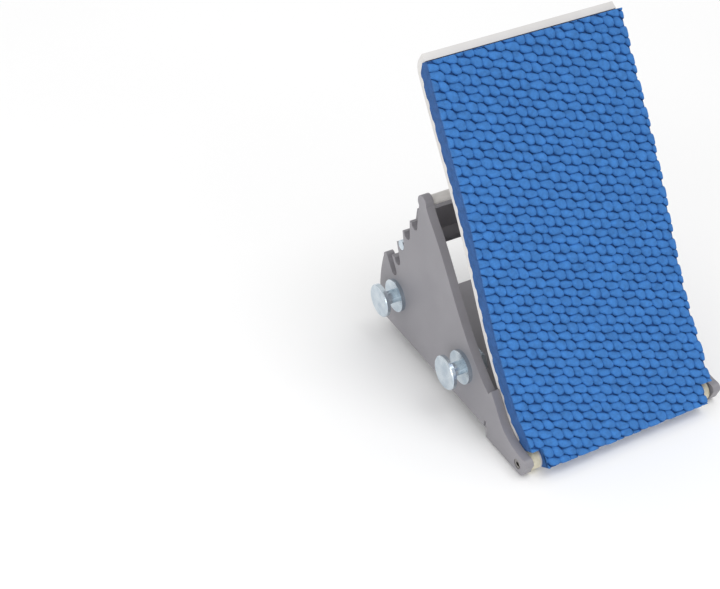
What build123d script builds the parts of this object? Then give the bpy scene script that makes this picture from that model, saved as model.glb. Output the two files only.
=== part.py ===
from build123d import *
import math
import os

# Foot pedal of an athletics starting block: a notched steel base that hangs on a rail by two
# headed studs, and a curved foot pad with a rubber face that hinges at the toe and is propped at
# one of four angles.
#
# X is across the pedal (the studs are on the -X side), Y points to the rear, Z is up.
# The origin is the centre of the floor plate's underside.

# ---------------------------------------------------------------- driving dimensions (mm, degrees)
BASE_WIDTH = 130.4        # outside to outside of the side plates
SIDE_SHEET = 5.0
FLOOR_SHEET = 4.0
PROP_SHEET = 4.0
PAD_SHEET = 4.5
ROD_D = 6.0               # hinge pin, notch pin, tie rod and prop pivot pin
RUNNING = 0.05            # radial clearance of a turning fit

PAD_ANGLE = 58.6          # pad above the sole when the pin is in the third notch
PAD_WIDTH = 119.8
MAT_THICK = 11.3
MAT_OVERHANG = 0.9        # how far the mat bulges past each side of the pad plate
MAT_NARROW_U = 18.0       # below this, up the pad, the mat is only as wide as the plate
MAT_CORNER_U = 6.0        # height of the corners cut out beside the hinge barrel
HINGE_Y, HINGE_Z = -88.3, -1.0    # hinge axis, from the centre of the sole

TOOTH_R = 145.8           # tooth tips, from the hinge axis
NOTCH_FIT_R = 3.2         # bottom radius of a notch
NOTCHES = [(141.9, 37.9), (141.9, 32.3), (141.6, 27.0), (139.9, 21.5)]    # radius, angle at the hinge
LOCKED_NOTCH = 2          # the notch that holds the pin in this position
REST_SLOT_AT = (134.0, 41.3)

LOBE_R = 4.4              # rounded top of each side plate, around the tie rod
LOBE_AT = (104.5, 106.3)  # from the hinge axis
FLOOR_FRONT, FLOOR_REAR = 32.0, 144.6
TOE_DROP = 5.2            # how far the toe reaches below the hinge axis

STUD_SPACING = 73.0
STUD_REAR_AT = (130.0, 26.1)
STUD_NECK_D = 8.0
STUD_HEAD_D, STUD_HEAD_T = 20.0, 2.5
STUD_COLLAR_D, STUD_COLLAR_T = 20.0, 2.3
RAIL_GAP = 7.5            # from collar to head: the rail's wall goes here
NUT_FLATS, NUT_T = 13.0, 5.0
WASHER_D, WASHER_T = 16.0, 1.6

LABEL_AT = (84.95, 30.6)
LABEL_L, LABEL_H, LABEL_T = 68.9, 16.4, 0.4

BARREL_D = 12.5           # hinge barrel rolled at the foot of the pad plate
BARREL_BORE = 8.0
BARREL_HALF = 54.1
BUSH_D, BUSH_HEAD, BUSH_SLEEVE = 12.0, 5.8, 14.0

PIVOT_AT = (186.0, -19.0) # prop pivot in the pad's own directions: up the pad, out of its face
EYE_D = 12.4              # rolled lower end of the prop
PIVOT_EYE_D = 12.0
PROP_WIDTH = 112.0
PROP_CROSS = 23.0         # how far the wide part reaches above the notch pin
STRAP_WIDTH = 25.0
LUG_T, LUG_GAP = 4.0, 0.6

HALF = BASE_WIDTH / 2
INNER = HALF - SIDE_SHEET # inner face of a side plate


# ---------------------------------------------------------------- small helpers
def polar(radius, angle):
    """Point at a radius and angle (degrees) around the hinge axis, as (rearward, up)."""
    return (radius * math.cos(math.radians(angle)), radius * math.sin(math.radians(angle)))


def pad_to_base(u, v):
    """Point given up the pad (u) and out of its face (v), as (rearward, up) from the hinge."""
    c, s = math.cos(math.radians(PAD_ANGLE)), math.sin(math.radians(PAD_ANGLE))
    return (u * c - v * s, u * s + v * c)


def across(outline, x_low, x_high):
    """Plate between two X positions, from an outline drawn in (rearward, up)."""
    return Pos(x_low, 0, 0) * extrude(Plane.YZ * outline, x_high - x_low)


def rod(at, diameter, x_low, x_high):
    return across(Pos(*at) * Circle(diameter / 2), x_low, x_high)


def tube(at, outer, inner, x_low, x_high):
    return across(Pos(*at) * (Circle(outer / 2) - Circle(inner / 2)), x_low, x_high)


def bar_between(start, end, thickness):
    """Flat section of a given thickness from one point to another, in (rearward, up)."""
    length = math.dist(start, end)
    angle = math.degrees(math.atan2(end[1] - start[1], end[0] - start[0]))
    middle = ((start[0] + end[0]) / 2, (start[1] + end[1]) / 2)
    return Pos(*middle) * Rot(0, 0, angle) * Rectangle(length, thickness)


def save(name, shape):
    """Move a piece from the hinge's coordinates to the part's frame and write it."""
    placed = Pos(0, HINGE_Y, HINGE_Z) * shape
    placed.label = name
    export_step(placed, os.path.join("parts", name + ".step"))


# ---------------------------------------------------------------- base
def notch_edges(centre, tip_above, tip_below):
    """One notch: wall down from the tooth above, round bottom, flat tooth top out to its tip."""
    reach = math.dist(centre, tip_above)
    aim = math.degrees(math.atan2(tip_above[1] - centre[1], tip_above[0] - centre[0]))
    touch = aim + math.degrees(math.acos(NOTCH_FIT_R / reach))

    def on_bottom(angle):
        return (centre[0] + NOTCH_FIT_R * math.cos(math.radians(angle)),
                centre[1] + NOTCH_FIT_R * math.sin(math.radians(angle)))

    rise = math.degrees(math.asin((tip_below[1] - centre[1]) / NOTCH_FIT_R))
    return [
        Line(tip_above, on_bottom(touch)),
        ThreePointArc(on_bottom(touch), on_bottom((touch + 360 + rise) / 2), on_bottom(360 + rise)),
        Line(on_bottom(360 + rise), tip_below),
    ]


def side_outline():
    """Side plate: toe, floor line, rear lobe, rest slot, four notches, top lobe, front edge."""
    sole = -HINGE_Z
    lobe = [(LOBE_AT[0] + LOBE_R * math.cos(math.radians(a)), LOBE_AT[1] + LOBE_R * math.sin(math.radians(a)))
            for a in (-48, 70, 185)]
    recess = (108.5, 97.0)
    centres = [polar(*notch) for notch in NOTCHES]
    tips = [recess]
    for centre in centres:
        height = centre[1] - 0.4
        tips.append((math.sqrt(TOOTH_R ** 2 - height ** 2), height))

    slot_rear = (REST_SLOT_AT[0] + NOTCH_FIT_R * math.cos(math.radians(-35)),
                 REST_SLOT_AT[1] + NOTCH_FIT_R * math.sin(math.radians(-35)))
    slot_reach = math.dist(REST_SLOT_AT, tips[-1])
    slot_aim = math.atan2(tips[-1][1] - REST_SLOT_AT[1], tips[-1][0] - REST_SLOT_AT[0])
    slot_touch = slot_aim + math.acos(NOTCH_FIT_R / slot_reach)
    slot_front = (REST_SLOT_AT[0] + NOTCH_FIT_R * math.cos(slot_touch),
                  REST_SLOT_AT[1] + NOTCH_FIT_R * math.sin(slot_touch))
    slot_bottom = (REST_SLOT_AT[0] - 1.2, REST_SLOT_AT[1] - math.sqrt(NOTCH_FIT_R ** 2 - 1.2 ** 2))

    rear_foot, rear_low, rear_tip = (146.3, sole), (149.6, 10.0), (145.8, 45.0)
    slot_mouth = (141.6, 46.6)
    shoulder_rear, shoulder_top = (31.0, 25.8), (28.5, 29.4)
    nose_top, nose_front = (-5.0, 6.9), (-8.2, 3.2)
    toe_front, toe_foot, toe_heel = (-5.9, -2.6), (-2.6, -TOE_DROP), (30.6, -TOE_DROP)
    edges = [
        Line(toe_foot, toe_heel),
        Line(toe_heel, (31.0, sole)),
        Line((31.0, sole), rear_foot),
        ThreePointArc(rear_foot, (148.6, 5.0), rear_low),
        ThreePointArc(rear_low, (149.7, 27.0), rear_tip),
        ThreePointArc(rear_tip, (143.8, 47.9), slot_mouth),
        Line(slot_mouth, slot_rear),
        ThreePointArc(slot_rear, slot_bottom, slot_front),
        Line(slot_front, tips[-1]),
    ]
    for centre, above, below in zip(centres, tips, tips[1:]):
        edges += notch_edges(centre, above, below)
    edges += [
        Line(recess, lobe[0]),
        ThreePointArc(lobe[0], lobe[1], lobe[2]),
        Spline([lobe[2], (96.6, 101.2), (91.4, 95.4), (72.5, 70.4), shoulder_rear]),
        Line(shoulder_rear, shoulder_top),
        Spline([shoulder_top, (24.0, 24.0), (14.0, 12.2), (5.0, 8.0), nose_top]),
        ThreePointArc(nose_top, (-7.5, 5.8), nose_front),
        Line(nose_front, toe_front),
        ThreePointArc(toe_front, (-4.7, -4.5), toe_foot),
    ]
    return make_face(Wire(edges))


def side_plate(side, studs):
    """Laser-cut side plate. side is -1 for the rail side and 1 for the other."""
    face = side_outline()
    face -= Pos(32.4, 2.9) * Rectangle(1.2, 4.2)        # relief beside the toe
    face -= Circle(ROD_D / 2)
    for at in studs:
        face -= Pos(*at) * Circle(STUD_NECK_D / 2)
    low, high = sorted((side * HALF, side * INNER))
    return across(face, low, high)


def floor_plate():
    plate = Pos((FLOOR_FRONT + FLOOR_REAR) / 2, -HINGE_Z + FLOOR_SHEET / 2) * Rectangle(
        FLOOR_REAR - FLOOR_FRONT, FLOOR_SHEET)
    return across(plate, -INNER, INNER)


def hinge_pin():
    """Rolled spring pin: a tube with a slot along it, just below flush at both ends."""
    ring = Circle(ROD_D / 2) - Circle(ROD_D / 2 - 1.7) - Pos(-2.2, 0) * Rectangle(2.6, 0.8)
    return across(Rot(0, 0, 20) * ring, -HALF + 0.3, HALF - 0.3)


def rail_stud(at):
    """Turned stud: round head, neck that carries the pedal, threaded end inside the base."""
    collar_face = -HALF - STUD_COLLAR_T
    head_low = collar_face - RAIL_GAP - STUD_HEAD_T
    head = rod(at, STUD_HEAD_D, head_low, head_low + STUD_HEAD_T)
    head = chamfer(head.edges().filter_by(GeomType.CIRCLE).sort_by(Axis.X)[0], 0.5)
    inner_end = -INNER + WASHER_T + NUT_T + 1.5
    return head + rod(at, STUD_NECK_D, head_low + STUD_HEAD_T, inner_end)


def stud_collar(at):
    return tube(at, STUD_COLLAR_D, STUD_NECK_D, -HALF - STUD_COLLAR_T, -HALF)


def stud_washer(at):
    return tube(at, WASHER_D, STUD_NECK_D, -INNER, -INNER + WASHER_T)


def stud_nut(at):
    hexagon = RegularPolygon(NUT_FLATS / 2, 6, major_radius=False) - Circle(STUD_NECK_D / 2)
    return across(Pos(*at) * hexagon, -INNER + WASHER_T, -INNER + WASHER_T + NUT_T)


def label():
    """Thin blank label plate stuck on the outer face away from the rail."""
    return across(Pos(*LABEL_AT) * RectangleRounded(LABEL_L, LABEL_H, 1.0), HALF, HALF + LABEL_T)


# ---------------------------------------------------------------- pad (drawn up the pad and out of it)
BACK_OF_MAT = [(0.0, 0.5), (25.0, -4.2), (50.0, -7.0), (85.0, -6.6), (120.0, -4.4),
               (155.0, -4.3), (190.0, -5.7), (212.7, -6.1)]
BEND_R = 4.5              # inside radius where the top of the pad plate turns forward
BEND_ANGLE = 64.0
LIP_LEG = 4.85


def offset_points(distance):
    """The mat's back line moved out of the pad's face by a distance."""
    return [(u, v + distance) for u, v in BACK_OF_MAT]


def lip_points():
    """Inner and outer corners of the lip's free edge, and mid points of its bend."""
    u0, v0 = BACK_OF_MAT[-1]
    centre = (u0, v0 + BEND_R)
    turn = math.radians(BEND_ANGLE)

    def on_bend(radius, part):
        return (centre[0] + radius * math.sin(turn * part), centre[1] - radius * math.cos(turn * part))

    leg = (LIP_LEG * math.cos(turn), LIP_LEG * math.sin(turn))
    inner_end, outer_end = on_bend(BEND_R, 1), on_bend(BEND_R + PAD_SHEET, 1)
    return {
        "inner_mid": on_bend(BEND_R, 0.5), "inner_end": inner_end,
        "outer_mid": on_bend(BEND_R + PAD_SHEET, 0.5), "outer_end": outer_end,
        "inner_tip": (inner_end[0] + leg[0], inner_end[1] + leg[1]),
        "outer_tip": (outer_end[0] + leg[0], outer_end[1] + leg[1]),
    }


def on_pad(face):
    """Turn a face drawn in pad directions to the pad's angle about the hinge."""
    return Rot(0, 0, PAD_ANGLE) * face


def pad_plate():
    """Curved sheet with a lip at the top and a hinge barrel rolled at its foot."""
    front, back = offset_points(0), offset_points(-PAD_SHEET)
    lip = lip_points()
    edges = [
        Spline(front),
        ThreePointArc(front[-1], lip["inner_mid"], lip["inner_end"]),
        Line(lip["inner_end"], lip["inner_tip"]),
        Line(lip["inner_tip"], lip["outer_tip"]),
        Line(lip["outer_tip"], lip["outer_end"]),
        ThreePointArc(lip["outer_end"], lip["outer_mid"], back[-1]),
        Spline(list(reversed(back))),
        Line(back[0], front[0]),
    ]
    sheet = across(on_pad(make_face(Wire(edges))), -PAD_WIDTH / 2, PAD_WIDTH / 2)
    for side in (-1, 1):
        low, high = sorted((side * BARREL_HALF, side * HALF))
        sheet -= rod((0, 0), BARREL_D + 1.2, low, high)
    sheet += rod((0, 0), BARREL_D, -BARREL_HALF, BARREL_HALF)
    return sheet - rod((0, 0), BARREL_BORE, -HALF, HALF)


def mat_outline():
    """Section of the mat, from its foot below the barrel to its top edge against the lip."""
    back = offset_points(0)
    lip = lip_points()
    front = offset_points(MAT_THICK)
    front[-1] = (218.4, front[-1][1])
    leg_part = 0.8
    lip_stop = (lip["inner_end"][0] + leg_part * (lip["inner_tip"][0] - lip["inner_end"][0]),
                lip["inner_end"][1] + leg_part * (lip["inner_tip"][1] - lip["inner_end"][1]))
    front_foot, back_foot = (-5.2, 12.2), (-6.0, 4.4)
    edges = [
        Spline(back),
        ThreePointArc(back[-1], lip["inner_mid"], lip["inner_end"]),
        Line(lip["inner_end"], lip_stop),
        Line(lip_stop, front[-1]),
        Spline(list(reversed(front))),
        Line(front[0], front_foot),
        Line(front_foot, back_foot),
        Line(back_foot, back[0]),
    ]
    return make_face(Wire(edges))


def rubber_mat():
    """Moulded rubber face with a square corner cut out at each side of its foot."""
    half_width = PAD_WIDTH / 2 + MAT_OVERHANG
    mat = across(on_pad(mat_outline()), -half_width, half_width)
    corner = Pos(MAT_CORNER_U - 12.0, 6.0) * Rectangle(24.0, 20.0)
    foot = Pos(MAT_NARROW_U - 15.0, 6.0) * Rectangle(30.0, 30.0)
    for side in (-1, 1):
        low, high = sorted((side * (BARREL_HALF + 0.1), side * HALF))
        mat -= across(on_pad(corner), low, high)
        low, high = sorted((side * PAD_WIDTH / 2, side * HALF))
        mat -= across(on_pad(foot), low, high)
    return mat - rod((0, 0), BARREL_D, -HALF, HALF)


def hinge_bush(side):
    """Nylon bush: a head beside the barrel and a sleeve inside it, turning on the hinge pin."""
    bore = ROD_D + 2 * RUNNING
    head_low, head_high = sorted((side * BARREL_HALF, side * (BARREL_HALF + BUSH_HEAD)))
    sleeve_low, sleeve_high = sorted((side * (BARREL_HALF - BUSH_SLEEVE), side * BARREL_HALF))
    return tube((0, 0), BUSH_D, bore, head_low, head_high) + tube(
        (0, 0), BARREL_BORE, bore, sleeve_low, sleeve_high)


def prop_lug(side):
    """Ear welded to the back of the pad, holding the prop's pivot pin."""
    u, v = PIVOT_AT
    top = -5.0
    blank = Pos(u, (v + top) / 2) * Rectangle(16.0, top - v) + Pos(u, v) * Circle(8.0)
    blank -= Pos(u, v) * Circle(ROD_D / 2)
    inner_face = STRAP_WIDTH / 2 + LUG_GAP
    low, high = sorted((side * inner_face, side * (inner_face + LUG_T)))
    ear = across(on_pad(blank), low, high)
    return ear - pad_back_block()


def pad_back_block():
    """Everything in front of the pad plate's back face, to trim what is welded to it."""
    back = offset_points(-PAD_SHEET)
    edges = [
        Spline(back),
        Line(back[-1], (back[-1][0], 30.0)),
        Line((back[-1][0], 30.0), (back[0][0], 30.0)),
        Line((back[0][0], 30.0), back[0]),
    ]
    return across(on_pad(make_face(Wire(edges))), -HALF, HALF)


def pivot_pin():
    """Grooved pin through the lugs and the prop's upper eye."""
    half = STRAP_WIDTH / 2 + LUG_GAP + LUG_T + 3.6
    at = pad_to_base(*PIVOT_AT)
    pin = rod(at, ROD_D, -half, half)
    for side in (-1, 1):
        low, high = sorted((side * (half - 2.6), side * (half - 1.6)))
        pin -= tube(at, ROD_D + 1, ROD_D - 1.4, low, high)
    return pin


def pivot_clip(side):
    """Spring clip that snaps into the pin's groove."""
    at = pad_to_base(*PIVOT_AT)
    half = STRAP_WIDTH / 2 + LUG_GAP + LUG_T + 3.6
    ring = Circle(5.5) - Circle(ROD_D / 2 - 0.7) - Pos(0, -4.0) * Rectangle(3.6, 8.0)
    low, high = sorted((side * (half - 2.55), side * (half - 1.65)))
    return across(Pos(*at) * ring, low, high)


# ---------------------------------------------------------------- prop
def prop():
    """Tee-shaped sheet: a wide cross with a rolled eye for the notch pin, and a strap to the pivot."""
    pin_at = polar(*NOTCHES[LOCKED_NOTCH])
    pivot = pad_to_base(*PIVOT_AT)
    length = math.dist(pin_at, pivot)
    toward = ((pivot[0] - pin_at[0]) / length, (pivot[1] - pin_at[1]) / length)
    cross_top = (pin_at[0] + PROP_CROSS * toward[0], pin_at[1] + PROP_CROSS * toward[1])
    cross = across(bar_between(pin_at, cross_top, PROP_SHEET), -PROP_WIDTH / 2, PROP_WIDTH / 2)
    strap = across(bar_between(pin_at, pivot, PROP_SHEET), -STRAP_WIDTH / 2, STRAP_WIDTH / 2)
    low_eye = rod(pin_at, EYE_D, -PROP_WIDTH / 2, PROP_WIDTH / 2)
    high_eye = rod(pivot, PIVOT_EYE_D, -STRAP_WIDTH / 2, STRAP_WIDTH / 2)
    body = cross + strap + low_eye + high_eye
    body -= rod(pin_at, ROD_D, -HALF, HALF)
    return body - rod(pivot, ROD_D + 2 * RUNNING, -HALF, HALF)


def notch_pin():
    """Round bar through the prop's lower eye, with both ends in the notches."""
    return rod(polar(*NOTCHES[LOCKED_NOTCH]), ROD_D, -HALF, HALF)


# ---------------------------------------------------------------- build
def main():
    os.makedirs("parts", exist_ok=True)
    stud_front = (STUD_REAR_AT[0] - STUD_SPACING, STUD_REAR_AT[1])
    studs = [STUD_REAR_AT, stud_front]
    save("side_plate_left", side_plate(-1, studs))
    save("side_plate_right", side_plate(1, []))
    save("floor_plate", floor_plate())
    save("tie_rod", rod(LOBE_AT, ROD_D, -INNER, INNER))
    save("hinge_pin", hinge_pin())
    save("rail_stud_rear", rail_stud(STUD_REAR_AT))
    save("rail_stud_front", rail_stud(stud_front))
    save("stud_collars", Compound([stud_collar(at) for at in studs]))
    save("stud_washers", Compound([stud_washer(at) for at in studs]))
    save("stud_nuts", Compound([stud_nut(at) for at in studs]))
    save("side_label", label())
    save("pad_plate", pad_plate())
    save("rubber_mat", rubber_mat())
    save("hinge_bush_left", hinge_bush(-1))
    save("hinge_bush_right", hinge_bush(1))
    save("prop_lug_left", prop_lug(-1))
    save("prop_lug_right", prop_lug(1))
    save("prop_pivot_pin", pivot_pin())
    save("pivot_clips", Compound([pivot_clip(side) for side in (-1, 1)]))
    save("prop", prop())
    save("notch_pin", notch_pin())


main()
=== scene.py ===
# %% [markdown]
# # Foot pedal of a starting block
# A runner's starting block has two pedals. Each is a curved steel pad, faced with embossed track
# rubber, that hinges at its foot on a notched base and leans on a prop. The frame is loaded first,
# so that every piece made here lands where the measured model says.

# %% Load the frame
import bpy
import bmesh
import math
import random
from mathutils import Matrix, Vector


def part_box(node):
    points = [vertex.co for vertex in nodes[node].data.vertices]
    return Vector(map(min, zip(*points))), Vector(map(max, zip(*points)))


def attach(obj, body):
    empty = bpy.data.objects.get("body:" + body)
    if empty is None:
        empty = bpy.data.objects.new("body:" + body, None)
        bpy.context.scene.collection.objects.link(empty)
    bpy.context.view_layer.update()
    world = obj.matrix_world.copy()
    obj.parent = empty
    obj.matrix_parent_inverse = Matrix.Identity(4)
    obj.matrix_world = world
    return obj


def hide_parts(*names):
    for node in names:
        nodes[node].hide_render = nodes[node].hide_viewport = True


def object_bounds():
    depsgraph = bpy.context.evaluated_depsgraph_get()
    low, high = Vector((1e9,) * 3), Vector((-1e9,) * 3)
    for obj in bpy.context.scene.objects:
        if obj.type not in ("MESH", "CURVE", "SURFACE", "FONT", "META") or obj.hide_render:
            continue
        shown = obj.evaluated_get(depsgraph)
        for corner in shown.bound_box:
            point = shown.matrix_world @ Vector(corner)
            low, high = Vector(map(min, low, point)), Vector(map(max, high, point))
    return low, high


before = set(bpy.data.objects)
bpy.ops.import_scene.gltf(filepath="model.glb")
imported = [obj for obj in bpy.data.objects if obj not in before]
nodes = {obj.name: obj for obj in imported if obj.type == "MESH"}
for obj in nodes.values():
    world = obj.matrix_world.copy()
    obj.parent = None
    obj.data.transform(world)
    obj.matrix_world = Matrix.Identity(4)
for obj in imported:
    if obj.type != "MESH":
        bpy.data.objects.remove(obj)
CAD_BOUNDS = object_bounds()
MM = 0.001

# %% [markdown]
# The pad has its own directions: u runs up the pad from the hinge, v comes out of its face. The mat
# and anything on it is easiest to shape in those, lying flat, and is turned to the pad's angle last.
# The curve of the pad is a list of heights along it, and a smooth line goes through them.

# %% Where the pad lies
PAD_ANGLE = math.radians(58.6)
HINGE = Vector((0, -88.3, -1.0)) * MM
PAD_LINE = [(0.0, 0.5), (25.0, -4.2), (50.0, -7.0), (85.0, -6.6), (120.0, -4.4),
            (155.0, -4.3), (190.0, -5.7), (212.7, -6.1)]
PAD_HALF_WIDTH = 59.9
MAT_THICK = 11.3
BARREL_RADIUS = 6.25


def pad_height(u):
    """Height of the steel under the mat, by a cubic through the four nearest points of the line."""
    inner = max(1, min(len(PAD_LINE) - 3, sum(1 for p in PAD_LINE if p[0] <= u) - 1))
    near = PAD_LINE[inner - 1:inner + 3]
    total = 0.0
    for i, (ui, vi) in enumerate(near):
        weight = 1.0
        for j, (uj, _) in enumerate(near):
            if i != j:
                weight *= (u - uj) / (ui - uj)
        total += vi * weight
    return total


def pad_point(x, u, v):
    """A point in pad directions (mm) as a place in the object's own frame (m)."""
    y = u * math.cos(PAD_ANGLE) - v * math.sin(PAD_ANGLE)
    z = u * math.sin(PAD_ANGLE) + v * math.cos(PAD_ANGLE)
    return HINGE + Vector((x, y, z)) * MM


print("pad heights", [round(pad_height(u), 2) for u in range(0, 220, 20)])

# %% [markdown]
# Every operator works on what is selected, and the loaded nodes come in selected. This helper clears
# that first and makes one object active, as a click on it would.

# %% Selection helpers
def only(obj):
    bpy.ops.object.select_all(action="DESELECT")
    obj.select_set(True)
    bpy.context.view_layer.objects.active = obj
    return obj


def edit(obj):
    only(obj)
    bpy.ops.object.mode_set(mode="EDIT")
    bpy.ops.mesh.select_all(action="DESELECT")
    return bmesh.from_edit_mesh(obj.data)


def done(obj):
    bpy.ops.object.mode_set(mode="OBJECT")
    return obj


bpy.ops.object.select_all(action="DESELECT")
print("selected", len(bpy.context.selected_objects))

# %% [markdown]
# ## Finishes
# Colours are picked as sRGB hex, as on a paint chart, and one function turns them to the linear values
# that the shader works in. A second one adds a node with its settings and its links.

# %% Colour and node helpers
def linear(chart_hex):
    parts = [int(chart_hex[i:i + 2], 16) / 255 for i in (1, 3, 5)]
    return [c / 12.92 if c <= 0.04045 else ((c + 0.055) / 1.055) ** 2.4 for c in parts] + [1.0]


def add(tree, kind, values=None, links=None, stops=(), **settings):
    """Add a node: its socket values, its incoming links, a colour ramp's stops and its settings."""
    node = tree.nodes.new(kind)
    for number, (position, colour) in enumerate(stops):
        marks = node.color_ramp.elements
        mark = marks[number] if number < len(marks) else marks.new(position)
        mark.position = position
        mark.color = colour
    for name, value in settings.items():
        setattr(node, name, value)
    for socket, value in (values or {}).items():
        node.inputs[socket].default_value = value
    for socket, source in (links or {}).items():
        tree.links.new(source, node.inputs[socket])
    return node


def new_finish(name):
    finish = bpy.data.materials.new(name)
    finish.use_nodes = True
    tree = finish.node_tree
    tree.nodes.clear()
    place = add(tree, "ShaderNodeTexCoord").outputs["Object"]
    return finish, tree, place


print("paint test", [round(c, 3) for c in linear("#A5A3A8")])

# %% [markdown]
# **Powder coat** is plastic powder melted onto steel. It gives a satin skin with a fine ripple, called
# orange peel, about a millimetre across. Fine noise drives the ripple in the bump, and a broad, weak
# noise moves the tone and the roughness a little, so that large faces aren't dead flat.

# %% Powder coat
ORANGE_PEEL_MM = 0.9
CLOUD_MM = 28.0
PEEL_STRENGTH = 0.12


def powder_coat(name, light, dark, roughness):
    finish, tree, place = new_finish(name)
    cloud = add(tree, "ShaderNodeTexNoise", {"Scale": 1000 / CLOUD_MM, "Detail": 3.0}, {"Vector": place})
    tone = add(tree, "ShaderNodeValToRGB", links={"Fac": cloud.outputs["Fac"]},
               stops=[(0.3, linear(dark)), (0.7, linear(light))])
    sheen = add(tree, "ShaderNodeMapRange", {"To Min": roughness - 0.05, "To Max": roughness + 0.07},
                {"Value": cloud.outputs["Fac"]})
    peel = add(tree, "ShaderNodeTexNoise", {"Scale": 1000 / ORANGE_PEEL_MM, "Detail": 2.0},
               {"Vector": place})
    bump = add(tree, "ShaderNodeBump", {"Strength": PEEL_STRENGTH, "Distance": 0.0002},
               {"Height": peel.outputs["Fac"]})
    shader = add(tree, "ShaderNodeBsdfPrincipled", {"IOR": 1.5},
                 {"Base Color": tone.outputs["Color"], "Roughness": sheen.outputs["Result"],
                  "Normal": bump.outputs["Normal"]})
    add(tree, "ShaderNodeOutputMaterial", links={"Surface": shader.outputs["BSDF"]})
    return finish


base_paint = powder_coat("powder_coat_grey", "#8F8D92", "#868489", 0.42)
pad_paint = powder_coat("powder_coat_light", "#DCDAD8", "#D3D0CD", 0.38)
prop_paint = powder_coat("powder_coat_shade", "#88868B", "#7D7B80", 0.45)
print("paints", base_paint.name, pad_paint.name, prop_paint.name)

# %% [markdown]
# **Bright zinc plate** is a metal, so its colour is the colour of its reflections: a pale, slightly
# blue grey. Turning leaves rings, so the noise is squeezed along the stud's axis, and cloudy patches
# of passivation shift the colour a little. **Plain spring steel** is darker and rougher.

# %% Plated and plain steel
TURNING_MARKS_PER_M = 900.0


def plated_steel(name, light, dark, roughness, patch_mm=6.0):
    finish, tree, place = new_finish(name)
    patch = add(tree, "ShaderNodeTexNoise", {"Scale": 1000 / patch_mm, "Detail": 4.0}, {"Vector": place})
    tone = add(tree, "ShaderNodeValToRGB", links={"Fac": patch.outputs["Fac"]},
               stops=[(0.35, linear(dark)), (0.65, linear(light))])
    rough = add(tree, "ShaderNodeMapRange", {"To Min": roughness - 0.08, "To Max": roughness + 0.1},
                {"Value": patch.outputs["Fac"]})
    turned = add(tree, "ShaderNodeMapping", {"Scale": (4.0, 1.0, 1.0)}, {"Vector": place})
    rings = add(tree, "ShaderNodeTexNoise", {"Scale": TURNING_MARKS_PER_M, "Detail": 2.0},
                {"Vector": turned.outputs["Vector"]})
    bump = add(tree, "ShaderNodeBump", {"Strength": 0.08, "Distance": 0.0001},
               {"Height": rings.outputs["Fac"]})
    shader = add(tree, "ShaderNodeBsdfPrincipled", {"Metallic": 1.0},
                 {"Base Color": tone.outputs["Color"], "Roughness": rough.outputs["Result"],
                  "Normal": bump.outputs["Normal"]})
    add(tree, "ShaderNodeOutputMaterial", links={"Surface": shader.outputs["BSDF"]})
    return finish


zinc = plated_steel("bright_zinc", "#D5DFE6", "#B9C7D2", 0.2)
spring_steel = plated_steel("spring_steel", "#A9A6A3", "#8A8784", 0.38, 3.0)
print("metals", zinc.name, spring_steel.name)

# %% [markdown]
# **Natural nylon** is a milky, slightly waxy plastic, whose moulded skin has almost no grain. The
# **label** is white film with a smooth varnish. Both could share one plain shader, so one function
# makes them, with the grain and the gloss as its inputs.

# %% Nylon and label film
def moulded_plastic(name, light, dark, roughness, grain_mm, depth):
    finish, tree, place = new_finish(name)
    grain = add(tree, "ShaderNodeTexNoise", {"Scale": 1000 / grain_mm, "Detail": 3.0}, {"Vector": place})
    tone = add(tree, "ShaderNodeValToRGB", links={"Fac": grain.outputs["Fac"]},
               stops=[(0.3, linear(dark)), (0.7, linear(light))])
    bump = add(tree, "ShaderNodeBump", {"Strength": depth, "Distance": 0.0001},
               {"Height": grain.outputs["Fac"]})
    shader = add(tree, "ShaderNodeBsdfPrincipled", {"Roughness": roughness, "IOR": 1.53},
                 {"Base Color": tone.outputs["Color"], "Normal": bump.outputs["Normal"]})
    add(tree, "ShaderNodeOutputMaterial", links={"Surface": shader.outputs["BSDF"]})
    return finish


nylon = moulded_plastic("natural_nylon", "#E4DEC6", "#D3CBB0", 0.45, 2.0, 0.15)
label_film = moulded_plastic("label_film", "#F6F6F8", "#EEEEF1", 0.22, 12.0, 0.03)
label_ink = moulded_plastic("label_ink_grey", "#5E6268", "#55595F", 0.25, 8.0, 0.03)
print("plastics", nylon.name, label_film.name)

# %% [markdown]
# ** Track rubber** is made of coloured granules pressed together, then embossed. The face is matt and
# mottled. Painted shade makes the valleys between the blocks darker, and painted light makes the block
# tops a little lighter. The cut sides show the granules as speckles. Each block's height is kept as an
# attribute called relief, so the painted shade and light can follow the emboss.

# %% Track rubber
GRANULE_MM = 1.1
MOTTLE_MM = 4.0
SKIN_MM = 0.6


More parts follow.
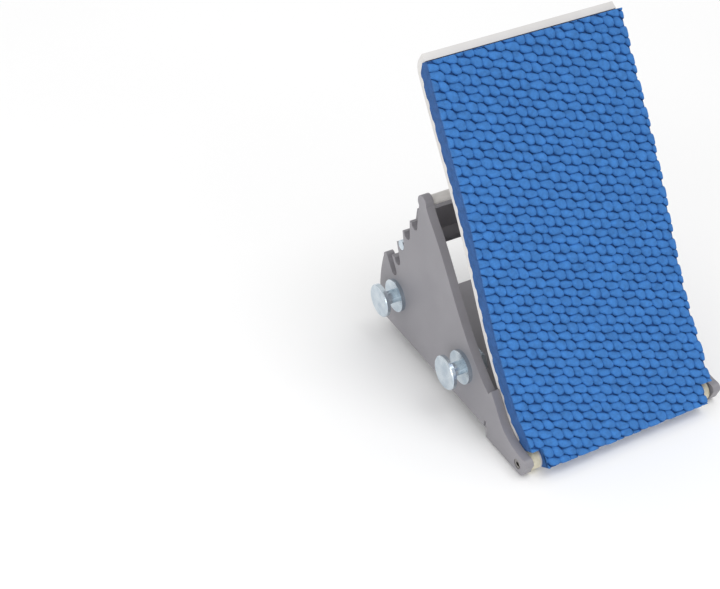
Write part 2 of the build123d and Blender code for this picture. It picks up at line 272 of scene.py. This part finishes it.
def track_rubber(name, top, mid, valley, roughness):
    finish, tree, place = new_finish(name)
    relief = add(tree, "ShaderNodeAttribute", attribute_name="relief")
    # Painted shade and light: by relief, the valleys take the dark colour and the block tops the lighter
    # one.
    painted_relief_shade = add(tree, "ShaderNodeValToRGB", links={"Fac": relief.outputs["Fac"]},
                     stops=[(0.0, linear(valley)), (0.55, linear(mid)), (1.0, linear(top))])
    mottle = add(tree, "ShaderNodeTexNoise", {"Scale": 1000 / MOTTLE_MM, "Detail": 5.0, "Roughness": 0.65},
                 {"Vector": place})
    spread = add(tree, "ShaderNodeMapRange",
                 {"From Min": 0.3, "From Max": 0.7, "To Min": 0.78, "To Max": 1.2},
                 {"Value": mottle.outputs["Fac"]})
    toned = add(tree, "ShaderNodeHueSaturation", {"Fac": 1.0},
                {"Color": painted_relief_shade.outputs["Color"], "Value": spread.outputs["Result"]})
    granule = add(tree, "ShaderNodeTexVoronoi", {"Scale": 1000 / GRANULE_MM}, {"Vector": place})
    rough_skin = add(tree, "ShaderNodeTexNoise", {"Scale": 1000 / SKIN_MM, "Detail": 4.0}, {"Vector": place})
    half_granule = add(tree, "ShaderNodeMath", {1: 0.5}, {0: granule.outputs["Distance"]},
                       operation="MULTIPLY")
    height = add(tree, "ShaderNodeMath", operation="ADD",
                 links={0: half_granule.outputs["Value"], 1: rough_skin.outputs["Fac"]})
    bump = add(tree, "ShaderNodeBump", {"Strength": 0.8, "Distance": 0.0005},
               {"Height": height.outputs["Value"]})
    shader = add(tree, "ShaderNodeBsdfPrincipled",
                 {"Roughness": roughness, "Specular IOR Level": 0.32, "IOR": 1.5},
                 {"Base Color": toned.outputs["Color"], "Normal": bump.outputs["Normal"]})
    add(tree, "ShaderNodeOutputMaterial", links={"Surface": shader.outputs["BSDF"]})
    return finish


# The deep blue third colour is painted shade for the valleys. The first colour is a little painted light on
# the block tops.
mat_rubber = track_rubber("track_rubber_face", "#3A78BE", "#3370B4", "#1F4E8C", 0.72)
side_rubber = track_rubber("track_rubber_cut", "#3A66A0", "#325C96", "#325C96", 0.85)
print("rubber", mat_rubber.name, side_rubber.name)

# %% [markdown]
# ## The measured pieces
# The plates, rods, studs and bushes already have their shape in the frame, so they only need a finish.
# It is put on each object's own material slot, which leaves the measured mesh as it is. The rod between
# the side plates is as pale as the pad, so it takes the pad's paint.

# %% Give the steel, plastic and plated pieces their finishes
FINISH_OF_NODE = {
    "side_plate_left": base_paint, "side_plate_right": base_paint, "floor_plate": base_paint,
    "tie_rod": pad_paint, "hinge_pin": spring_steel, "rail_stud_front": zinc, "rail_stud_rear": zinc,
    "stud_collars": zinc, "stud_washers": zinc, "stud_nuts": zinc, "side_label": label_film,
    "pad_plate": pad_paint, "hinge_bush_left": nylon, "hinge_bush_right": nylon,
    "prop_lug_left": base_paint, "prop_lug_right": base_paint, "prop_pivot_pin": zinc,
    "pivot_clips": spring_steel, "prop": prop_paint, "notch_pin": zinc,
}
for node_name, finish in FINISH_OF_NODE.items():
    slots = nodes[node_name].material_slots
    for node_slot in slots:
        node_slot.link = "OBJECT"
        node_slot.material = finish
print("finished nodes", len(FINISH_OF_NODE))

# %% [markdown]
# ## The embossed mat
# Track rubber is embossed by a roller, so its blocks repeat. Four blocks, each a different rounded
# shape, make one repeat, and the repeats lie in rows that run at a slant across the pad. A bump
# texture would look flat at the mat's scalloped edges, so each of the four blocks is modelled once:
# a circle is shaped to the block's outline, its corners are bevelled, and it is extruded in steps that
# shrink as they rise, which makes a low dome of few faces. Insets were tried, and cross over in the
# narrow blocks.

# %% The four blocks of the emboss
ROW_STEP = (27.98, -9.37)       # from one set of four to the next along a row (mm, across and up)
NEXT_ROW = (9.32, -8.11)        # from one row to the next
ROW_START = (-52.7, 209.9)      # one corner of the first block, near the top left
RELIEF = 1.7                    # height of a block above the valleys
ROOT = 0.7                      # how far a block's foot goes into the rubber below
BLOCK_OUTLINES = {              # across and down, mm
    "wing": [(9.1, 9.0), (11.0, 8.7), (13.4, 9.5), (16.2, 11.0), (16.3, 12.6), (15.2, 13.5),
             (12.0, 13.5), (10.2, 12.7), (9.4, 11.0)],
    "heart": [(16.8, 11.0), (18.6, 10.3), (21.0, 10.8), (22.5, 12.3), (22.7, 13.8), (22.4, 15.8),
              (20.9, 16.6), (19.0, 16.2), (17.7, 14.4), (16.7, 12.7)],
    "tooth": [(23.3, 12.6), (24.9, 12.0), (26.5, 12.7), (27.7, 14.3), (28.6, 15.7), (28.6, 17.4),
              (27.2, 18.4), (25.0, 18.0), (23.5, 16.4)],
    "flag": [(28.9, 15.9), (30.5, 15.1), (34.4, 15.1), (35.9, 16.1), (36.6, 17.9), (36.6, 19.6),
             (35.3, 20.3), (33.3, 20.0), (31.0, 18.7), (29.2, 17.3)],
}
CORNER_ROUND = 0.8
ROW_SLOPE = math.atan2(-ROW_STEP[1], ROW_STEP[0])
GROW_ALONG, GROW_ACROSS = 1.3, 1.13     # feet overlap, so neighbours meet in a narrow crease
DOME = [(0.42, 0.92), (0.3, 0.87), (0.2, 0.78), (0.08, 0.6)]    # share of the relief, shrink


def grown(x, y, centre_x, centre_y):
    """Spread a point of an outline from the block's centre, more along the row than across it."""
    turn = Matrix.Rotation(ROW_SLOPE, 2)
    along, across = turn.inverted() @ Vector((x - centre_x, y - centre_y))
    return Vector((centre_x, centre_y)) + turn @ Vector((along * GROW_ALONG, across * GROW_ACROSS))


def emboss_block(name, outline):
    """One block, lying flat, with its corner of the repeat at the origin."""
    centre_x = sum(p[0] for p in outline) / len(outline)
    centre_y = sum(p[1] for p in outline) / len(outline)
    bpy.ops.object.select_all(action="DESELECT")
    bpy.ops.mesh.primitive_circle_add(vertices=len(outline), radius=1.0, fill_type="NGON")
    block = bpy.context.object
    block.name = name
    mesh = edit(block)
    order = sorted(mesh.verts, key=lambda v: math.atan2(v.co.y, v.co.x))
    turned = sorted(outline, key=lambda p: math.atan2(centre_y - p[1], p[0] - centre_x))
    for vert, (x, y) in zip(order, turned):
        wide = grown(x, y, centre_x, centre_y)
        vert.co = (wide.x, -wide.y, -ROOT)
    bpy.ops.mesh.select_all(action="SELECT")
    bpy.ops.mesh.bevel(offset=CORNER_ROUND, segments=1, affect="VERTICES")
    bpy.ops.mesh.extrude_region_move(TRANSFORM_OT_translate={"value": (0, 0, ROOT)})
    for rise, shrink in DOME:
        bpy.ops.mesh.extrude_region_move(TRANSFORM_OT_translate={"value": (0, 0, RELIEF * rise)})
        bpy.ops.transform.resize(value=(shrink, shrink, 1.0), center_override=(centre_x, -centre_y, 0.0))
    bpy.ops.mesh.select_all(action="SELECT")
    bpy.ops.mesh.normals_make_consistent(inside=False)
    return done(block)


blocks = [emboss_block(name, outline) for name, outline in BLOCK_OUTLINES.items()]
print("blocks", [(b.name, len(b.data.polygons)) for b in blocks])

# %% [markdown]
# The copies could be placed by array modifiers, but then every repeat would be the same. Real rubber
# isn't so even, so each copy is turned, sized and raised a touch differently by random numbers from a
# fixed start. Copies whose middle lies too far off the mat are skipped.

# %% Lay the blocks out in rows
MAT_FOOT, MAT_TOP = -5.2, 218.4         # along the pad
MAT_HALF_WIDTH = 60.8
ROWS, STEPS = range(-22, 62), range(-24, 24)
BEYOND_SIDE, BEYOND_FOOT, BEYOND_TOP = 2.6, 2.6, 2.4    # how far past the edge a block's middle may be
TURN_DEGREES, SMALLEST, LARGEST, LIFT = 4, 0.97, 1.05, 0.18


def lay_blocks():
    """Copies of the four blocks over the whole face, each turned and raised a touch differently."""
    rng = random.Random(7)
    copies = []
    for row in ROWS:
        for step in STEPS:
            for block in blocks:
                dx = ROW_START[0] + row * NEXT_ROW[0] + step * ROW_STEP[0]
                du = ROW_START[1] + row * NEXT_ROW[1] + step * ROW_STEP[1]
                middle = sum((v.co for v in block.data.vertices), Vector()) / len(block.data.vertices)
                at = (middle.x + dx, middle.y + du)
                if abs(at[0]) > PAD_HALF_WIDTH + BEYOND_SIDE:
                    continue
                if not MAT_FOOT - BEYOND_FOOT < at[1] < MAT_TOP + BEYOND_TOP:
                    continue
                mesh = block.data.copy()
                turn = Matrix.Rotation(math.radians(rng.uniform(-TURN_DEGREES, TURN_DEGREES)), 4, "Z")
                grow = Matrix.Scale(rng.uniform(SMALLEST, LARGEST), 4)
                lift = rng.uniform(-LIFT, LIFT)
                mesh.transform(Matrix.Translation((at[0], at[1], lift)) @ turn @ grow
                               @ Matrix.Translation((-middle.x, -middle.y, 0)))
                copy = bpy.data.objects.new("block_copy", mesh)
                bpy.context.collection.objects.link(copy)
                copies.append(copy)
    bpy.ops.object.select_all(action="DESELECT")
    for copy in copies:
        copy.select_set(True)
    bpy.context.view_layer.objects.active = copies[0]
    bpy.ops.object.join()
    return bpy.context.object, len(copies)


emboss, block_count = lay_blocks()
emboss.name = "mat_emboss"
for block in blocks:
    bpy.data.objects.remove(block)
print("blocks laid", block_count, "faces", len(emboss.data.polygons))

# %% [markdown]
# The mat was cut from a sheet, so blocks at the edge are sliced. Bisecting with a plane and then
# closing each cut block on its own does the same. Filling the whole cut at once would tangle blocks
# that overlap. The two corners at the foot are taken out as well, where the hinge bushes show.

# %% Cut the emboss to the mat's outline
CORNER_X, CORNER_U = 54.2, 6.0
SIDE_SPARE = 0.1                # the blocks reach this far past the sheet, so no faces coincide


def close_cut_blocks():
    """Close each block that a cut has opened, on its own."""
    bpy.ops.mesh.select_mode(type="EDGE")
    bpy.ops.mesh.select_all(action="DESELECT")
    bpy.ops.mesh.select_non_manifold(extend=False, use_wire=False, use_multi_face=False, use_verts=False)
    bpy.ops.mesh.fill_holes(sides=0)
    bpy.ops.mesh.select_mode(type="VERT")


def slice_off(obj, at, normal):
    edit(obj)
    bpy.ops.mesh.select_all(action="SELECT")
    bpy.ops.mesh.bisect(plane_co=at, plane_no=normal, clear_outer=True)
    close_cut_blocks()
    return done(obj)


for side in (-1, 1):
    slice_off(emboss, (side * (MAT_HALF_WIDTH + SIDE_SPARE), 0, 0), (side, 0, 0))
slice_off(emboss, (0, MAT_TOP, 0), (0, 1, 0))
slice_off(emboss, (0, MAT_FOOT, 0), (0, -1, 0))


def cut_corners(obj):
    """Score the corner lines across the whole mesh, drop the corners and close what is open."""
    edit(obj)
    across, up = (1, 0, 0), (0, 1, 0)
    for at, normal in (((0, CORNER_U, 0), up), ((CORNER_X, 0, 0), across), ((-CORNER_X, 0, 0), across)):
        bpy.ops.mesh.select_all(action="SELECT")
        bpy.ops.mesh.bisect(plane_co=at, plane_no=normal)
    bpy.ops.mesh.select_all(action="DESELECT")
    mesh = bmesh.from_edit_mesh(obj.data)
    for face in mesh.faces:
        middle = face.calc_center_median()
        face.select = abs(middle.x) > CORNER_X and middle.y < CORNER_U
    bpy.ops.mesh.delete(type="FACE")
    close_cut_blocks()
    return done(obj)


cut_corners(emboss)
print("emboss after cutting", len(emboss.data.polygons))

# %% [markdown]
# Below the blocks is the sheet itself. It starts as a cube, cut into short lengths so that it can
# bend, with more cuts at the foot, where its underside wraps the hinge barrel. Its back has grooves,
# which leave the dark gaps seen along the joint with the steel.

# %% The sheet under the blocks
GROOVE_PITCH, GROOVE_DEPTH, GROOVE_SHARE = 11.5, 1.0, 0.34
BARREL_CLEAR = BARREL_RADIUS + 0.1
GROOVES_FROM = BARREL_RADIUS + 3
LIP_FROM, LIP_RISE = 213.0, 0.9         # the steel starts to bend back here, and the rubber clears it
FOOT_PART, FOOT_CUT, LONG_CUT = 12, 0.65, 1.9    # lengths between cuts, short up to the end of the foot
SHEET_TOP = MAT_THICK - RELIEF


def mat_back(u):
    """Underside of the rubber: on the steel, round the barrel, and up in the grooves."""
    v = pad_height(max(u, 0.0))
    if abs(u) < BARREL_CLEAR:
        v = max(v, math.sqrt(BARREL_CLEAR ** 2 - u * u))
    if u > GROOVES_FROM and (u % GROOVE_PITCH) < GROOVE_PITCH * GROOVE_SHARE:
        v += GROOVE_DEPTH
    if u > LIP_FROM:
        v += LIP_RISE * (u - LIP_FROM)
    return v


def mat_sheet():
    bpy.ops.object.select_all(action="DESELECT")
    bpy.ops.mesh.primitive_cube_add(size=1.0)
    sheet = bpy.context.object
    sheet.name = "mat_sheet"
    edit(sheet)
    bpy.ops.mesh.select_all(action="SELECT")
    bpy.ops.transform.resize(value=(MAT_HALF_WIDTH * 2, MAT_TOP - MAT_FOOT, 1.0))
    bpy.ops.transform.translate(value=(0, (MAT_TOP + MAT_FOOT) / 2, 0))
    cut = MAT_FOOT + 0.5
    while cut < MAT_TOP - 0.5:
        bpy.ops.mesh.select_all(action="SELECT")
        bpy.ops.mesh.bisect(plane_co=(0, cut, 0), plane_no=(0, 1, 0))
        cut += FOOT_CUT if cut < FOOT_PART else LONG_CUT
    for side in (-1, 1):
        bpy.ops.mesh.select_all(action="SELECT")
        bpy.ops.mesh.bisect(plane_co=(side * CORNER_X, 0, 0), plane_no=(1, 0, 0))
    bpy.ops.mesh.select_all(action="SELECT")
    bpy.ops.mesh.bisect(plane_co=(0, CORNER_U, 0), plane_no=(0, 1, 0))
    return done(sheet)


sheet = mat_sheet()
print("sheet faces", len(sheet.data.polygons))

# %% [markdown]
# A boolean could take the corners out of the sheet, but it leaves long thin faces that don't bend well.
# The sheet is cut along the corner lines already, so the corners' faces are deleted, and each step that
# this leaves is bridged with a side wall and a foot wall.

# %% Take out the two corners at the foot
NEAR = 0.01                     # mm, for finding the edges that lie on a line
def close_corners(obj):
    """Drop the corner boxes, then bridge each step with a side wall and a foot wall."""
    mesh = edit(obj)
    for face in mesh.faces:
        middle = face.calc_center_median()
        face.select = abs(middle.x) > CORNER_X and middle.y < CORNER_U
    bpy.ops.mesh.delete(type="FACE")
    for side in (-1, 1):
        for along_side in (True, False):
            bpy.ops.mesh.select_mode(type="EDGE")
            bpy.ops.mesh.select_all(action="DESELECT")
            mesh = bmesh.from_edit_mesh(obj.data)
            for edge in mesh.edges:
                a, b = edge.verts[0].co, edge.verts[1].co
                if abs(a.z - b.z) > NEAR or not edge.is_boundary:
                    continue
                if along_side:
                    edge.select = abs(a.x - b.x) < NEAR and abs(a.x - side * CORNER_X) < NEAR
                else:
                    edge.select = abs(a.y - b.y) < NEAR and abs(a.y - CORNER_U) < NEAR and a.x * side > 0
            bpy.ops.mesh.bridge_edge_loops()
    bpy.ops.mesh.select_mode(type="VERT")
    bpy.ops.mesh.select_all(action="SELECT")
    bpy.ops.mesh.remove_doubles(threshold=0.001)
    bpy.ops.mesh.normals_make_consistent(inside=False)
    mesh = bmesh.from_edit_mesh(obj.data)
    print("open edges left", sum(1 for edge in mesh.edges if edge.is_boundary))
    return done(obj)


close_corners(sheet)

# %% [markdown]
# The flat sheet and its blocks now go onto the pad: each point keeps its place along the pad, and its
# height is added to the steel's. A bend modifier makes one even arc, and this curve is uneven, so the
# points are moved by the same smooth line that the steel follows. The blocks also note their height in
# the relief attribute, before they are bent.

# %% Bend the sheet and the emboss to the pad
SMOOTH_ANGLE = math.radians(50)
FACES_OUT = 0.8                 # cosine: a face that looks out of the pad more than this is the mat's face
NARROW_LOW, NARROW_HIGH = 17.0, 22.0    # the mat draws in between the toes below here


def drawn_in(x, u):
    """Width of the mat at a height: full above the toes, only as wide as the steel between them."""
    part = max(0.0, min(1.0, (u - NARROW_LOW) / (NARROW_HIGH - NARROW_LOW)))
    narrow = (PAD_HALF_WIDTH - 0.1) / MAT_HALF_WIDTH
    return x * (narrow + (1 - narrow) * part)


def bend_sheet(obj):
    for vert in obj.data.vertices:
        x, u, level = vert.co
        x = drawn_in(x, u)
        v = pad_height(max(u, 0.0)) + SHEET_TOP if level > 0 else mat_back(u)
        vert.co = pad_point(x, u, v)


def bend_emboss(obj):
    relief = obj.data.attributes.new("relief", "FLOAT", "POINT")
    for vert in obj.data.vertices:
        x, u, rise = vert.co
        x = drawn_in(x, u)
        relief.data[vert.index].value = max(0.0, min(1.0, rise / RELIEF))
        vert.co = pad_point(x, u, pad_height(max(u, 0.0)) + SHEET_TOP + rise)


# Relief 0 everywhere, so the sheet's top takes the darkest colour of the ramp, the painted valley shade.
def mark_as_valley(obj):
    relief = obj.data.attributes.new("relief", "FLOAT", "POINT")
    for point in relief.data:
        point.value = 0.0


bend_emboss(emboss)
bend_sheet(sheet)
mark_as_valley(sheet)

for obj, finish in ((emboss, mat_rubber), (sheet, side_rubber)):
    obj.data.materials.clear()
    obj.data.materials.append(finish)
    only(obj)
    bpy.ops.object.shade_smooth_by_angle(angle=SMOOTH_ANGLE)
    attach(obj, "pad")

# The sheet's top, between the blocks, is valley: it takes the face's rubber, with its painted valley shade.
sheet.data.materials.append(mat_rubber)
out_of_face = pad_point(0, 0, 1) - pad_point(0, 0, 0)
out_of_face.normalize()
for face in sheet.data.polygons:
    face.material_index = 1 if face.normal.dot(out_of_face) > FACES_OUT else 0
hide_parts("rubber_mat")

# %% [markdown]
# ## Label
# The label on the outer face is a white film with print on it. Its print is replaced by three plain
# grey bars, each a thin plate with softened corners. A picture on the film would do too, but raised
# bars need no image and stay in the mesh when the model is exported.

# %% Bars on the label
LABEL_LOW, LABEL_HIGH = (Vector(c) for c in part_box("side_label"))
BAR_WIDE, BAR_THICK, BAR_SOFTENING = 52.0, 0.12, 0.05


def label_bar(name, z_mm, tall):
    bpy.ops.object.select_all(action="DESELECT")
    bpy.ops.mesh.primitive_cube_add(size=1.0)
    bar = bpy.context.object
    bar.name = name
    middle = (LABEL_LOW + LABEL_HIGH) / 2
    edit(bar)
    bpy.ops.mesh.select_all(action="SELECT")
    bpy.ops.transform.resize(value=(BAR_THICK * MM, BAR_WIDE * MM, tall * MM))
    bpy.ops.transform.translate(value=(LABEL_HIGH.x, middle.y, middle.z + z_mm * MM))
    done(bar)
    soften = bar.modifiers.new("soften", "BEVEL")
    soften.width = BAR_SOFTENING * MM
    soften.segments = 2
    only(bar)
    bpy.ops.object.modifier_apply(modifier=soften.name)
    bar.data.materials.append(label_ink)
    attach(bar, "base")
    return bar


bars = [label_bar("label_bar_top", 3.6, 2.4),
        label_bar("label_bar_middle", -0.4, 1.2),
        label_bar("label_bar_low", -3.6, 1.2)]
print("label bars", len(bars))

# %% [markdown]
# ## Floor, light and camera
# The pedal hangs on a rail in use. Here it stands on a pale floor at its lowest point, the toes. The
# floor is one large plane, because its edge should stay out of sight, and it isn't part of the object.

# %% Floor
FLOOR_HALF = 3.0
FLOOR_GAP = 0.0001
floor_height = CAD_BOUNDS[0][2] - FLOOR_GAP
bpy.ops.object.select_all(action="DESELECT")
bpy.ops.mesh.primitive_plane_add(size=2 * FLOOR_HALF, location=(0, 0, 0))
floor = bpy.context.object
floor.name = "studio_floor"
floor.data.transform(Matrix.Translation((0, 0, floor_height)))
floor_finish, floor_tree, floor_place = new_finish("studio_floor_paint")
floor_cloud = add(floor_tree, "ShaderNodeTexNoise", {"Scale": 2.0}, {"Vector": floor_place})
floor_tone = add(floor_tree, "ShaderNodeValToRGB", links={"Fac": floor_cloud.outputs["Fac"]},
                 stops=[(0.3, linear("#F8F8F8")), (0.7, linear("#FCFCFC"))])
floor_shader = add(floor_tree, "ShaderNodeBsdfPrincipled", {"Roughness": 0.9, "Specular IOR Level": 0.1},
                   {"Base Color": floor_tone.outputs["Color"]})
add(floor_tree, "ShaderNodeOutputMaterial", links={"Surface": floor_shader.outputs["BSDF"]})
floor.data.materials.append(floor_finish)
print("floor at", round(floor_height, 5))

# %% [markdown]
# The light is soft and comes from everywhere, as in a white tent. A bright world does most of it. A
# broad sun from above gives the blocks a shaded side, and a small panel lifts the side with the studs.

# %% Soft light
def aim(holder, place, target):
    holder.location = place
    holder.rotation_euler = (Vector(target) - Vector(place)).to_track_quat("-Z", "Y").to_euler()
    bpy.context.collection.objects.link(holder)


TARGET = (0, -0.01, 0.08)
key = bpy.data.lights.new("key_overhead", "SUN")
key.energy = 0.85
key.angle = math.radians(35)
aim(bpy.data.objects.new("key_overhead", key), (0.35, -0.45, 1.5), TARGET)
fill = bpy.data.lights.new("side_fill", "AREA")
fill.shape = "SQUARE"
fill.size = 0.4
fill.energy = 1.0
aim(bpy.data.objects.new("side_fill", fill), (-0.6, -0.35, 0.22), (-0.06, -0.09, 0.0))
world = bpy.data.worlds.new("studio")
bpy.context.scene.world = world
world.use_nodes = True
world.node_tree.nodes["Background"].inputs["Color"].default_value = (1, 1, 1, 1)
world.node_tree.nodes["Background"].inputs["Strength"].default_value = 0.78
bpy.context.scene.view_settings.view_transform = "Standard"

# %% [markdown]
# The camera stands in front, to the left and above, with a lens a little longer than normal. Its
# direction is given by two of its axes, and the third follows from them.

# %% Camera
CAMERA_PLACE = Vector((-0.4171, -0.5643, 0.5732))
CAMERA_RIGHT = Vector((0.878, -0.479, -0.005)).normalized()
CAMERA_FORWARD = Vector((0.374, 0.693, -0.616)).normalized()
camera_up = CAMERA_RIGHT.cross(CAMERA_FORWARD)
turn = Matrix((CAMERA_RIGHT, camera_up, -CAMERA_FORWARD)).transposed()
camera_data = bpy.data.cameras.new("studio_camera")
camera_data.sensor_width = 36.0
camera_data.lens = 76.2
camera = bpy.data.objects.new("studio_camera", camera_data)
bpy.context.collection.objects.link(camera)
camera.matrix_world = Matrix.Translation(CAMERA_PLACE) @ turn.to_4x4()
bpy.context.scene.camera = camera
print("camera", [round(c, 3) for c in CAMERA_PLACE])
